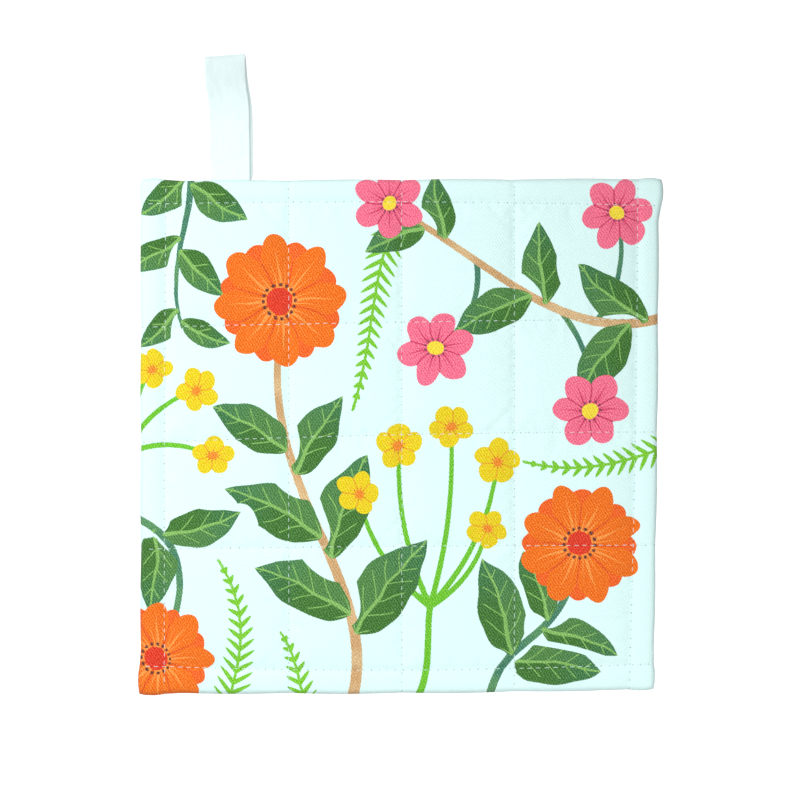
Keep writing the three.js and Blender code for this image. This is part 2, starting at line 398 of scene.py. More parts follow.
class Pad:
    """The cloth of the pad: its fine front, its back, and the sewing that runs across both."""

    def __init__(self):
        front, back = settle(*swell(*flat_pad(START_LOFT)))
        self.back = back
        self.column, self.row = np.meshgrid(FINE_LEVELS, FINE_LEVELS)
        self.x, self.y = plan(self.column, self.row)
        self.down = stitching(COLUMN_LINES, self.column, self.x, self.y)
        self.across = stitching(ROW_LINES, self.row, self.y, self.x)
        self.front = refine_front(front, back)
        grooves = np.maximum(sewn_in(self.down), sewn_in(self.across))
        self.front[..., 2] -= grooves * edge_share(self.column) * edge_share(self.row)
        self.front[..., 2] += allowance(self.column, self.row)

    # Seam points are shared, so a cell of the back at the seam takes the front's fine points too
    def back_cell(self, back_index, row, column):
        corners = [(row, column), (row + 1, column), (row + 1, column + 1), (row, column + 1)]
        cell = []
        for start, end in zip(corners, corners[1:] + corners[:1]):
            cell.append(int(back_index[start]))
            shared = [a for a, b in zip(start, end) if a == b and a in (0, COUNT - 1)]
            if shared:
                for step in range(1, FINE):
                    at = [a * FINE + (b - a) * step for a, b in zip(start, end)]
                    cell.append(at[0] * FINE_COUNT + at[1])
        return cell

    def build(self):
        seam = seam_mask()
        fine_index = np.arange(FINE_COUNT ** 2).reshape(FINE_COUNT, FINE_COUNT)
        back_index = fine_index[::FINE, ::FINE].copy()
        back_index[~seam] = FINE_COUNT ** 2 + np.arange((~seam).sum())
        cells = range(COUNT - 1)
        faces = grid_faces(fine_index)
        faces += [self.back_cell(back_index, row, column) for row in cells for column in cells]
        points = np.concatenate([self.front.reshape(-1, 3), self.back[~seam]])
        piece = new_mesh("quilted_pad_cloth", points, faces)
        self.inner = ~seam
        self.lay_map(piece)
        return piece

    # Values for every point, where the back has one of its own for all
    def with_back(self, fine, back_value):
        back = np.broadcast_to(np.array(back_value, dtype=float), (self.inner.sum(), 3))
        return np.concatenate([np.asarray(fine, dtype=float).reshape(-1, 3), back])

    # Flat map of the cloth: the front large, the back small in a corner of its own
    def lay_map(self, piece):
        fine = np.arange(FINE_COUNT) / (FINE_COUNT - 1)
        spots = np.stack(np.meshgrid(fine, fine), axis=-1).reshape(-1, 2)
        coarse = np.stack(np.meshgrid(fine[::FINE], fine[::FINE]), axis=-1)[self.inner]
        spots = np.concatenate([spots, coarse])
        corner_points = np.empty(len(piece.data.loops), dtype=int)
        piece.data.loops.foreach_get("vertex_index", corner_points)
        flat = spots[corner_points]
        front_corners = 4 * (FINE_COUNT - 1) ** 2
        flat[:front_corners] = MAP_FRONT[0] + MAP_FRONT[1] * flat[:front_corners]
        flat[front_corners:] = MAP_BACK[0] + MAP_BACK[1] * flat[front_corners:]
        piece.data.uv_layers.new(name="OFBake").data.foreach_set("uv", flat.ravel())


# The print: wild flowers tossed over a pale ground, drawn in the plan of the cloth.
# Stems: name, ink, width at the foot, width at the tip, points that bend the curve
STEMS = (
    ("tall", "bark", 4.4, 2.6, ((-20, -108), (-2, -58), (-56, -24), (-46, 40))),
    ("arch", "bark", 4.0, 2.2, ((108, 48), (70, 32), (44, 60), (2, 86))),
    ("short", "vine", 3.2, 2.6, ((34, -108), (36, -76), (60, -84), (68, -52))),
    ("side", "vine", 3.0, 2.4, ((-108, -30), (-88, -34), (-78, -52), (-90, -78))),
    ("hang", "vine", 3.0, 1.2, ((-82, 110), (-76, 88), (-92, 68), (-84, 42))),
    ("spray", "sprig", 2.8, 2.4, ((2, -108), (14, -96), (10, -80), (12, -66))),
    ("tuft", "sprig", 2.4, 2.4, ((-118, -10), (-114, -8), (-110, -8), (-106, -7))),
)
# Dark leaves in pairs: stem, first and last share of it, pairs, length at first and last, opening
LEAF_PAIRS = (
    ("tall", 0.25, 0.7, 3, 44, 36, 46),
    ("arch", 0.14, 0.9, 3, 35, 28, 52),
    ("short", 0.34, 0.68, 2, 38, 31, 62),
    ("side", 0.3, 0.3, 1, 34, 34, 60),
    ("hang", 0.16, 0.94, 3, 28, 21, 55),
)
# Flowers: kind, x, y, radius, petals, turn, then the stem it grows from, where on it, and the twig's bend
FLOWERS = (
    ("orange", -46, 52, 26, 8, 5, "tall", 1.0, 0),
    ("orange", 70, -42, 24, 8, 20, "short", 1.0, 0),
    ("orange", -94, -86, 22, 8, 0, "side", 1.0, 0),
    ("pink", 84, 86, 14, 6, 10, "arch", 0.3, -5),
    ("pink", 74, 10, 15, 6, 0, "arch", 0.44, 4),
    ("pink", 14, 34, 15, 6, 12, "arch", 0.76, 6),
    ("pink", -4, 90, 14, 6, 30, "arch", 1.0, 0),
    ("yellow", -16, -22, 8.5, 5, 0, "spray", 1.0, 5),
    ("yellow", 0, -4, 9, 5, 20, "spray", 1.0, 4),
    ("yellow", 20, 4, 8.5, 5, 50, "spray", 1.0, -3),
    ("yellow", 38, -10, 9, 5, 10, "spray", 1.0, -5),
    ("yellow", 34, -36, 8, 5, 60, "spray", 1.0, -4),
    ("yellow", -72, -8, 8, 5, 15, "tuft", 1.0, 4),
    ("yellow", -78, 18, 8.5, 5, 40, "tuft", 1.0, 4),
    ("yellow", -96, 26, 8, 5, 0, "tuft", 1.0, 2),
)
TWIG_INKS = {"orange": "vine", "pink": "vine", "yellow": "sprig"}
TWIG_WIDTHS = (2.3, 1.6)
# Fern sprigs: leaflet length, points that bend the curve
FERNS = (
    (8, ((-68, -108), (-58, -80), (-60, -64), (-70, -48))),
    (8, ((0, 84), (-12, 64), (-8, 44), (-18, 10))),
    (7, ((108, -2), (90, -10), (70, -16), (48, -10))),
    (7, ((-34, -108), (-40, -96), (-38, -88), (-46, -76))),
)
CURVE_STEPS = 24
FAR = 20.0
LEAF_SLENDER = 0.24
LEAF_CURL = 0.16
LEAF_STAGGER = 0.03
LEAF_TURN = 6
LEAF_LENGTHS = (0.92, 1.06)
STEM_AHEAD = 0.01
FERN_STALK = 9
FERN_TAPER = 0.6
KINDS = ("orange", "pink", "yellow")


def bent_curve(controls, share):
    points = np.array(controls, dtype=float)[:, None] + 0 * share[None, :, None]
    while len(points) > 1:
        points = points[:-1] + (points[1:] - points[:-1]) * share[None, :, None]
    return points[0]


# Way run along a curve and distance from it, for every point, with the curve's length
def beside(points, curve):
    steps = np.diff(curve, axis=0)
    sizes = np.linalg.norm(steps, axis=1)
    runs = np.cumsum(sizes) - sizes
    along = np.zeros(len(points))
    away = np.full(len(points), np.inf)
    for start, step, size, run in zip(curve, steps, sizes, runs):
        share = np.clip((points - start) @ step / size ** 2, 0, 1)
        distance = np.linalg.norm(points - start - share[:, None] * step, axis=1)
        closer = distance < away
        along = np.where(closer, run + share * size, along)
        away = np.where(closer, distance, away)
    return along, away, sizes.sum()


def near(points, curve):
    inside = (points > curve.min(axis=0) - FAR) & (points < curve.max(axis=0) + FAR)
    return np.flatnonzero(inside.all(axis=1))


# Nearest motif of each point, and how much nearer it is than the next one
def nearest(gaps):
    gaps = np.array(gaps)
    order = np.sort(gaps, axis=0)
    return gaps.argmin(axis=0), np.minimum(order[1] - order[0], FAR)


STEM_ROUTES = {name: controls for name, _, _, _, controls in STEMS}
STEM_INKS = ("bark", "vine", "sprig")


# A twig leaves its stem at a share of its length and bends on its way to the flower
def twig_table():
    twigs = []
    for kind, x, y, _, _, _, stem, share, bend in FLOWERS:
        foot = bent_curve(STEM_ROUTES[stem], np.array([share]))[0]
        ahead = np.array([x, y]) - foot
        aside = np.array([-ahead[1], ahead[0]]) / np.linalg.norm(ahead)
        controls = (foot, foot + ahead / 2 + 2 * bend * aside, (x, y))
        twigs.append(("twig", TWIG_INKS[kind], *TWIG_WIDTHS, controls))
    return twigs


# Gap from every point to the stems of each ink
def draw_stems(points):
    gaps = np.full((len(points), len(STEM_INKS)), FAR)
    for _, ink, foot, tip, controls in (*STEMS, *twig_table()):
        curve = bent_curve(controls, np.linspace(0, 1, CURVE_STEPS))
        some = near(points, curve)
        along, away, length = beside(points[some], curve)
        gap = away - (foot + (tip - foot) * along / length) / 2
        column = STEM_INKS.index(ink)
        gaps[some, column] = np.minimum(gaps[some, column], gap)
    return gaps


# Every leaf: where it starts, its heading, length and half width
def leaf_table():
    leaves = []
    for stem, first, last, pairs, first_length, last_length, opening in LEAF_PAIRS:
        for pair in range(pairs):
            rise = pair / max(1, pairs - 1)
            for side in (-1, 1):
                share = first + (last - first) * rise + LEAF_STAGGER * side
                here, ahead = bent_curve(STEM_ROUTES[stem], np.array([share, share + STEM_AHEAD]))
                heading = math.atan2(*(ahead - here)[::-1])
                heading += side * math.radians(opening + rng.uniform(-LEAF_TURN, LEAF_TURN))
                length = first_length + (last_length - first_length) * rise
                length *= rng.uniform(*LEAF_LENGTHS)
                leaves.append((here[0], here[1], heading, length, LEAF_SLENDER * length, side))
    return leaves


def draw_leaves(points):
    leaves = leaf_table()
    places, gaps = [], []
    for x, y, heading, length, half, side in leaves:
        ahead = np.array([math.cos(heading), math.sin(heading)])
        offset = points - (x, y)
        along = offset @ ahead
        across = offset @ (-ahead[1], ahead[0])
        across = across + side * LEAF_CURL * along * (length - along) / length
        outside = np.maximum(0, np.maximum(-along, along - length))
        places.append((along, across))
        gaps.append(np.hypot(outside, across) - half)
    chosen, clear = nearest(gaps)
    pick = np.arange(len(points))
    places = np.array(places)[chosen, :, pick]
    style = np.array([(length, half, side) for _, _, _, length, half, side in leaves])[chosen]
    return np.column_stack([places, clear]), style


def draw_flowers(points):
    places, gaps = [], []
    for _, x, y, radius, _, turn, *_ in FLOWERS:
        offset = points - (x, y)
        cos, sin = math.cos(math.radians(turn)), math.sin(math.radians(turn))
        places.append((offset @ (cos, sin), offset @ (-sin, cos)))
        gaps.append(np.linalg.norm(offset, axis=1) - radius)
    chosen, clear = nearest(gaps)
    places = np.array(places)[chosen, :, np.arange(len(points))]
    style = np.array([(petals, KINDS.index(kind), radius)
                      for kind, _, _, radius, petals, *_ in FLOWERS])[chosen]
    return np.column_stack([places, clear]), style


def draw_ferns(points):
    fern = np.tile([0.0, FAR, 1.0], (len(points), 1))
    for leaflet, controls in FERNS:
        curve = bent_curve(controls, np.linspace(0, 1, CURVE_STEPS))
        some = near(points, curve)
        along, away, length = beside(points[some], curve)
        closer = away < fern[some, 1]
        rest = np.clip(1 - along / length, 0, 1) ** FERN_TAPER * np.minimum(1, along / FERN_STALK)
        here = np.column_stack([along, away, leaflet * rest])
        fern[some] = np.where(closer[:, None], here, fern[some])
    return fern


# Half width of an ink's soft edge
INK_BLUR = 0.13


class Wire:
    """A number on its way through a material's nodes."""

    def __init__(self, tree, socket):
        self.tree = tree
        self.socket = socket

    def math(self, operation, *others):
        node = self.tree.nodes.new("ShaderNodeMath")
        node.operation = operation
        for socket, value in zip(node.inputs, (self, *others)):
            feed(self.tree, socket, value)
        return Wire(self.tree, node.outputs[0])

    def __add__(self, other):
        return self.math("ADD", other)

    def __sub__(self, other):
        return self.math("SUBTRACT", other)

    def __rsub__(self, other):
        return self.math("MULTIPLY_ADD", -1, other)

    def __mul__(self, other):
        return self.math("MULTIPLY", other)

    def __truediv__(self, other):
        return self.math("DIVIDE", other)

    def __pow__(self, other):
        return self.math("POWER", other)

    def __abs__(self):
        return self.math("ABSOLUTE")

    __radd__ = __add__

    def least(self, other):
        return self.math("MINIMUM", other)

    def most(self, other):
        return self.math("MAXIMUM", other)

    def root(self):
        return self.math("SQRT")

    def wave(self, length):
        return (self * (2 * math.pi / length)).math("SINE")

    # Distance from the nearest whole multiple of a step
    def fold(self, step):
        return self.math("PINGPONG", step / 2)

    def share(self, low=0.0, high=1.0):
        node = self.tree.nodes.new("ShaderNodeMapRange")
        feed(self.tree, node.inputs["Value"], self)
        feed(self.tree, node.inputs["From Min"], low)
        feed(self.tree, node.inputs["From Max"], high)
        return Wire(self.tree, node.outputs["Result"])

    # 1 inside a shape, where the gap to it is below zero
    def cover(self, blur=INK_BLUR):
        node = self.tree.nodes.new("ShaderNodeMapRange")
        node.interpolation_type = "SMOOTHSTEP"
        feed(self.tree, node.inputs["Value"], self)
        feed(self.tree, node.inputs["From Min"], blur)
        feed(self.tree, node.inputs["From Max"], -blur)
        return Wire(self.tree, node.outputs["Result"])


def feed(tree, socket, value):
    if isinstance(value, Wire):
        tree.links.new(value.socket, socket)
    else:
        socket.default_value = value


def length_of(first, second):
    return (first * first + second * second).root()


def read_vector(tree, name):
    source = tree.nodes.new("ShaderNodeAttribute")
    source.attribute_name = name
    parts = tree.nodes.new("ShaderNodeSeparateXYZ")
    tree.links.new(source.outputs["Vector"], parts.inputs[0])
    return [Wire(tree, socket) for socket in parts.outputs]


def noise(x, y, detail=2.0):
    tree = x.tree
    spot = tree.nodes.new("ShaderNodeCombineXYZ")
    feed(tree, spot.inputs["X"], x)
    feed(tree, spot.inputs["Y"], y)
    node = tree.nodes.new("ShaderNodeTexNoise")
    node.noise_dimensions = "2D"
    node.inputs["Scale"].default_value = 1
    node.inputs["Detail"].default_value = detail
    tree.links.new(spot.outputs[0], node.inputs["Vector"])
    return Wire(tree, node.outputs["Fac"])


# Sockets of a mix node that take and give colours
MIX_SHARE, MIX_BELOW, MIX_ABOVE, MIX_RESULT = 0, 6, 7, 2


def paint(factor, below, above, blend="MIX"):
    tree = factor.tree
    node = tree.nodes.new("ShaderNodeMix")
    node.data_type = "RGBA"
    node.blend_type = blend
    feed(tree, node.inputs[MIX_SHARE], factor)
    feed(tree, node.inputs[MIX_BELOW], below)
    feed(tree, node.inputs[MIX_ABOVE], above)
    return Wire(tree, node.outputs[MIX_RESULT])


# Paler or deeper colour from yarn to yarn, partly dye and partly painted shade along the twill's wales,
# with bare fibre ends here and there
def dye_and_weave_shade(colour, grain):
    tree = colour.tree
    colour = paint((grain * FIBRE_SHARE).most(0), colour, GROUND)
    depth = tree.nodes.new("ShaderNodeGamma")
    feed(tree, depth.inputs["Color"], colour)
    feed(tree, depth.inputs["Gamma"], 1 - grain * DYE_AND_SHADE_VARIATION)
    light = tree.nodes.new("ShaderNodeHueSaturation")
    feed(tree, light.inputs["Color"], Wire(tree, depth.outputs[0]))
    feed(tree, light.inputs["Value"], (1 + grain * YARN_VARIATION).least(MOST_LIGHT))
    return Wire(tree, light.outputs[0])


def by_kind(kind, colours):
    tree = kind.tree
    node = tree.nodes.new("ShaderNodeValToRGB")
    node.color_ramp.interpolation = "CONSTANT"
    elements = node.color_ramp.elements
    while len(elements) < len(colours):
        elements.new(1.0)
    for number, colour in enumerate(colours):
        elements[number].position = number / len(colours)
        elements[number].color = colour
    feed(tree, node.inputs["Fac"], (kind + 0.5) / len(colours))
    return Wire(tree, node.outputs["Color"])


# Colour of a dye from its look in bright light, as screen values out of 255 on the usual screen curve
def dye(red, green, blue):
    shares = [value / 255 for value in (red, green, blue)]
    linear = [share / 12.92 if share < 0.04 else ((share + 0.055) / 1.055) ** 2.4 for share in shares]
    return (*[value / DYE_LIGHT for value in linear], 1.0)


DYE_LIGHT = 1.08
GROUND = (0.70, 0.93, 0.91, 1.0)
WHITE_THREAD = (0.74, 0.90, 0.89, 1.0)
WHITE_TAPE = (0.82, 0.97, 0.965, 1.0)
# Painted shade, multiplied into the colour at the needle holes
HOLE_SHADE = (0.42, 0.40, 0.41, 1.0)
BARK = dye(221, 187, 138)
BARK_DARK = dye(207, 165, 114)
VINE = dye(89, 147, 97)
VINE_DEEP = dye(68, 128, 102)
SPRIG = dye(110, 196, 42)
FERN = dye(124, 203, 46)
LEAF = dye(65, 118, 47)
LEAF_LIGHT = dye(81, 134, 69)
LEAF_TIP = dye(63, 125, 86)
VEIN = dye(134, 188, 98)
PETALS = (dye(242, 114, 16), dye(248, 115, 145), dye(234, 210, 18))
BACK_PETALS = (dye(243, 100, 28), dye(226, 78, 118), dye(240, 196, 40))
STREAKS = (dye(250, 154, 68), dye(214, 62, 104), dye(245, 186, 40))
GAPS = (dye(226, 84, 28), dye(206, 56, 98), dye(236, 170, 34))
CENTRES = (dye(226, 58, 32), dye(247, 222, 60), dye(240, 140, 40))
DOTS = (dye(112, 60, 48), dye(120, 66, 80), dye(196, 96, 40))

# Twill: its slanting wales, its yarn and its height
TWILL_WALE = 0.99
TWILL_SLANT = math.radians(32.5)
YARN_LENGTH, YARN_WIDTH = 1.5, 0.5
WALE_HEIGHT, YARN_HEIGHT = 0.5, 1.2
TWILL_DEPTH = 0.05

# Uneven colour: flecks from yarn to yarn, partly dye and partly painted weave shade, weaker on the bare
# ground, and slow clouds in the stems
FLECK_LENGTH = 0.45
FLECK_WIDTH = 0.36
FLECK_SHIFT = 40
FLECK_GAIN = 9
BARE_FLECKS = 0.24
DYE_AND_SHADE_VARIATION = 0.08
YARN_VARIATION = 0.06
MOST_LIGHT = 1.1
FIBRE_SHARE = 0.007
CLOUD_SIZE = 14
CLOUD_RANGE = (0.4, 0.6)
NOISE_RANGE = (0.3, 0.7)

# Outlines: their sway, the weave's ragged edge, room round a motif, and the print's soft end at the seam
SWAY_SIZE = 11
SWAY_SHIFTS = (11, 23)
SWAY = 2.2
RAGGED_WALE, RAGGED_YARN = 0.03, 0.3
LEAST_CLEAR = 2.2
INK_INSET = 0.2
BACK_BLUR = 0.1

# Flowers, in shares of the radius or of a petal; the line between petals is in millimetres
PETAL_EASE = 1.3
PETAL_WIDTH = 0.6
BACK_PETAL_REACH = 0.92
STREAK_REACH, STREAK_WIDTH = 0.8, 0.05
SIDE_STREAK_TURN, SIDE_STREAK_REACH, SIDE_STREAK_WIDTH = 0.2, 0.62, 0.03
PETAL_LINE = 0.28
CENTRE_SIZE = 0.2
DOT_RING, DOT_SIZE, DOT_SPACING = 0.25, 0.028, 0.5

# Leaves and ferns: outline, tinted tip, veins and ribs
LEAF_FULLNESS, LEAF_SHOULDER = 3.3, 0.75
LEAF_FOLD_BLUR = 0.3
TIP_FROM, TIP_TINT = 0.45, 0.75
VEIN_SLANT, VEIN_PITCH, VEIN_HALF, VEIN_REACH = 1.1, 7.6, 0.3, 0.74
MIDRIB_FOOT, MIDRIB_TAPER = 0.75, 0.45
FERN_SLANT, FERN_PITCH, FERN_RIB = 0.8, 4.4, 0.55
LEAFLET_HALF, LEAST_LEAFLET = 1.35, 0.05

# Needle holes, darkened with painted shade: how far from the line and how sharp, then how dark, changing
# over a few stitches
HOLE_BAND, HOLE_BLUR = 1.5, 0.15
HOLE_DARK, HOLE_DARKER = 0.35, 0.5
HOLE_CHANGE, HOLE_ROW = 2.3, 7

# White cotton: slow changes of tone, and fibres
TONE_LENGTH, TONE_WIDTH = 6, 2
FIBRE_SIZE, FIBRE_TONE, FIBRE_HEIGHT = 0.7, 0.4, 0.8
COTTON_SHADE = 0.93
SPECULAR = 0.2
SHEEN_ROUGHNESS = 0.6


def new_material(name, roughness, sheen):
    material = bpy.data.materials.new(name)
    material.use_nodes = True
    tree = material.node_tree
    shader = tree.nodes["Principled BSDF"]
    shader.inputs["Roughness"].default_value = roughness
    shader.inputs["Specular IOR Level"].default_value = SPECULAR
    shader.inputs["Sheen Weight"].default_value = sheen
    shader.inputs["Sheen Roughness"].default_value = SHEEN_ROUGHNESS
    return material, tree, shader


def add_bump(tree, shader, height, distance):
    bump = tree.nodes.new("ShaderNodeBump")
    bump.inputs["Strength"].default_value = 1
    bump.inputs["Distance"].default_value = distance * MM
    feed(tree, bump.inputs["Height"], height)
    tree.links.new(bump.outputs["Normal"], shader.inputs["Normal"])


# Half width of a petal at a share of its reach: round at the tip, narrow at the heart
def petal_half(reach, width):
    eased = reach.share() ** PETAL_EASE
    return (eased * (1 - eased)).most(0).root() * width * 2 - INK_INSET


def flower_ink(tree, sway_x, sway_y, brush):
    u, v, clear = read_vector(tree, "flower")
    petals, kind, radius = read_vector(tree, "flower_style")
    u, v = u + sway_x, v + sway_y
    out = length_of(u, v)
    half_sector = petals ** -1 * math.pi
    angle = v.math("ARCTAN2", u)
    turn = angle.math("PINGPONG", half_sector)
    width = half_sector.math("TANGENT") * radius * PETAL_WIDTH
    reach = out * turn.math("COSINE")
    aside = out * turn.math("SINE")
    other_turn = half_sector - turn
    front_gap = aside - petal_half(reach / radius, width)
    back_reach = out * other_turn.math("COSINE") / radius / BACK_PETAL_REACH
    back_gap = out * other_turn.math("SINE") - petal_half(back_reach, width) + kind * FAR
    share = out / radius
    colour = by_kind(kind, PETALS)
    streak = by_kind(kind, STREAKS)
    middle_streak = aside - (STREAK_REACH - share) * radius * STREAK_WIDTH
    colour = paint(middle_streak.cover(), colour, streak)
    side_width = (SIDE_STREAK_REACH - share) * radius * SIDE_STREAK_WIDTH
    side_streak = abs(aside - out * SIDE_STREAK_TURN) - side_width
    colour = paint(side_streak.cover(), colour, streak)
    divide = out * other_turn.math("SINE") - PETAL_LINE
    colour = paint(divide.cover(), colour, by_kind(kind, GAPS))
    colour = paint(front_gap.cover(), by_kind(kind, BACK_PETALS), colour)
    colour = paint((out - radius * CENTRE_SIZE + brush).cover(), colour, by_kind(kind, CENTRES))
    dot_turn = angle.math("PINGPONG", half_sector * DOT_SPACING)
    dot = length_of(out - radius * DOT_RING, dot_turn * out)
    colour = paint((dot - radius * DOT_SIZE).cover(), colour, by_kind(kind, DOTS))
    return front_gap.least(back_gap).most(LEAST_CLEAR - clear), colour


def leaf_ink(tree, sway_x, sway_y, brush):
    along, across, clear = read_vector(tree, "leaf")
    length, half, side = read_vector(tree, "leaf_style")
    along, across = along + sway_x, across + sway_y
    share = (along / length).share()
    outline = half * LEAF_FULLNESS * share ** LEAF_SHOULDER * (1 - share) - INK_INSET
    aside = abs(across)
    colour = paint((across * side).cover(LEAF_FOLD_BLUR), LEAF, LEAF_LIGHT)
    colour = paint(share.share(TIP_FROM) * TIP_TINT, colour, LEAF_TIP)
    veins = (along - aside * VEIN_SLANT).fold(VEIN_PITCH) - VEIN_HALF
    veins = veins.most(aside - outline * VEIN_REACH)
    midrib = aside - (MIDRIB_FOOT - share * MIDRIB_TAPER)
    colour = paint((veins.least(midrib) + brush).cover(), colour, VEIN)
    return (aside - outline).most(LEAST_CLEAR - clear), colour


def fern_gap(tree):
    along, away, leaflet = read_vector(tree, "fern")
    rib = (along - away * FERN_SLANT).fold(FERN_PITCH)
    outward = away / leaflet.most(LEAST_LEAFLET)
    filled = (1 - outward ** 2).most(0).root() * LEAFLET_HALF - INK_INSET
    return (rib - filled).least(away - FERN_RIB)


def printed_twill():
    material, tree, shader = new_material("printed_twill", roughness=0.92, sheen=0.08)
    x, y, side = read_vector(tree, "cloth")
    over_wale = x * math.cos(TWILL_SLANT) + y * math.sin(TWILL_SLANT)
    up_wale = y * math.cos(TWILL_SLANT) - x * math.sin(TWILL_SLANT)
    wale = over_wale.wave(TWILL_WALE)
    yarn = noise(up_wale / YARN_LENGTH, over_wale / YARN_WIDTH)
    grain = noise(up_wale / FLECK_LENGTH + FLECK_SHIFT, over_wale / FLECK_WIDTH, detail=0)
    cloud = noise(x / CLOUD_SIZE, y / CLOUD_SIZE).share(*CLOUD_RANGE)
    sway_x = (noise(x / SWAY_SIZE + SWAY_SHIFTS[0], y / SWAY_SIZE, detail=0) - 0.5) * SWAY
    sway_y = (noise(x / SWAY_SIZE, y / SWAY_SIZE + SWAY_SHIFTS[1], detail=0) - 0.5) * SWAY
    ragged = wale * RAGGED_WALE + (yarn - 0.5) * RAGGED_YARN

    bark, vine, sprig = read_vector(tree, "stems")
    layers = (
        (fern_gap(tree), FERN),
        (vine, paint(cloud, VINE, VINE_DEEP)),
        (sprig, SPRIG),
        (bark, paint(cloud, BARK, BARK_DARK)),
        leaf_ink(tree, sway_x, sway_y, ragged),
        flower_ink(tree, sway_x, sway_y, ragged),
    )
    colour, inked = GROUND, None
    for gap, ink in layers:
        covered = (gap + ragged).cover()
        colour = paint(covered, colour, ink)
        inked = covered if inked is None else inked.most(covered)
    colour = paint((side - 0.5).cover(BACK_BLUR), colour, GROUND)
    # Flecks: random yarn grain plus the wale wave, which is painted shade of the twill's ridges; weaker
    # on the bare ground
    flecks_and_wale_shade = (grain - 0.5) * FLECK_GAIN + wale
    colour = dye_and_weave_shade(colour, flecks_and_wale_shade * (inked * (1 - BARE_FLECKS) + BARE_FLECKS))
    # Painted shade darkens the colour round each needle hole, on the ground and on the inks alike
    for name in ("stitching_down", "stitching_across"):
        signed, stitches, away = read_vector(tree, name)
        hole = length_of(signed, stitches.fold(1) * STITCH_PITCH) - HOLE_RADIUS
        hole_shade_depth = noise(stitches / HOLE_CHANGE, HOLE_ROW).share(*NOISE_RANGE) * HOLE_DARKER + HOLE_DARK
        pierced = hole.most(away - HOLE_BAND).cover(HOLE_BLUR) * hole_shade_depth
        colour = paint(pierced, colour, HOLE_SHADE, blend="MULTIPLY")
    feed(tree, shader.inputs["Base Color"], colour)
    add_bump(tree, shader, wale * WALE_HEIGHT + yarn * YARN_HEIGHT, distance=TWILL_DEPTH)
    return material


# Plain white cotton: a fine weave along and across the strip
def white_cotton(name, colour, warp, weft, depth):
    material, tree, shader = new_material(name, roughness=0.88, sheen=0.1)
    along, across, _ = read_vector(tree, "weave")
    tone = noise(along / TONE_LENGTH, across / TONE_WIDTH)
    fibre = noise(along / FIBRE_SIZE, across / FIBRE_SIZE)
    shade = tuple(value * COTTON_SHADE for value in colour[:3]) + (1.0,)
    bright = (tone * (1 - FIBRE_TONE) + fibre * FIBRE_TONE).share(*NOISE_RANGE)
    feed(tree, shader.inputs["Base Color"], paint(bright, shade, colour))
    height = along.wave(weft) * across.wave(warp) + fibre * FIBRE_HEIGHT
    add_bump(tree, shader, height, distance=depth)
    return material


# One round stitch lies on the cloth and dips into it at both ends
STITCH_RISE = (-0.3, -0.03, 0.04, 0.04, -0.03, -0.3)
STITCH_SIDES = 6
STITCH_STEP = 0.47
STITCH_CLEAR = 0.6
THREAD_WANDER = 0.06


# Stitches along a sewn line; the rise is turned over on the back
def stitch_run(points, stitches, up):
    ends = np.array([1 - STITCH_SHARE, 1 + STITCH_SHARE]) / 2
    first = math.ceil(stitches[0] + STITCH_CLEAR - ends[0])
    last = math.floor(stitches[-1] - STITCH_CLEAR - ends[1])
    starts = np.arange(first, last + 1)
    spread = np.linspace(ends[0], ends[1], len(STITCH_RISE))
    at = starts[:, None] + spread
    path = np.stack([np.interp(at, stitches, points[:, axis]) for axis in range(3)], axis=-1)
    path[..., 2] += up * np.array(STITCH_RISE)
    path[..., :2] += rng.normal(0, THREAD_WANDER, (len(starts), 1, 2))
    return path


def tubes(paths, thick, sides):
    ahead = np.gradient(paths, axis=1)
    ahead /= np.linalg.norm(ahead, axis=-1, keepdims=True)
    aside = np.cross(ahead, (0, 0, 1))
    aside /= np.linalg.norm(aside, axis=-1, keepdims=True)
    upward = np.cross(aside, ahead)
    turns = np.arange(sides) * 2 * np.pi / sides
    ring = (np.cos(turns)[:, None] * aside[..., None, :] + np.sin(turns)[:, None] * upward[..., None, :])
    return paths[..., None, :] + ring * thick / 2


def thread_piece(pad):
    runs = []
    for cell in LINE_CELLS:
        fine = cell * FINE
        down, across = pad.down[:, fine, 1], pad.across[fine, :, 1]
        runs.append(stitch_run(pad.front[:, fine], down, 1))
        runs.append(stitch_run(pad.front[fine], across, 1))
        runs.append(stitch_run(pad.back[:, cell], down[::FINE], -1))
        runs.append(stitch_run(pad.back[cell], across[::FINE], -1))
    paths = np.concatenate(runs)
    points = tubes(paths, THREAD_THICK, STITCH_SIDES)
    index = np.arange(points[..., 0].size).reshape(points.shape[:3])
    closed = np.concatenate([index, index[..., :1]], axis=-1)
    corners = [closed[:, :-1, :-1], closed[:, :-1, 1:], closed[:, 1:, 1:], closed[:, 1:, :-1]]
    faces = np.stack(corners, axis=-1).reshape(-1, 4).tolist()
    faces += index[:, 0, ::-1].tolist() + index[:, -1].tolist()
    piece = new_mesh("quilting_thread", points, faces)
    run = np.broadcast_to(np.arange(len(STITCH_RISE))[:, None] * STITCH_STEP, points.shape[1:3])
    turn = np.broadcast_to(np.arange(STITCH_SIDES) * THREAD_THICK / 2, points.shape[1:3])
    weave = np.broadcast_to(np.stack([run, turn, 0 * run], axis=-1), points.shape)
    give_vectors(piece, "weave", weave)
    return piece


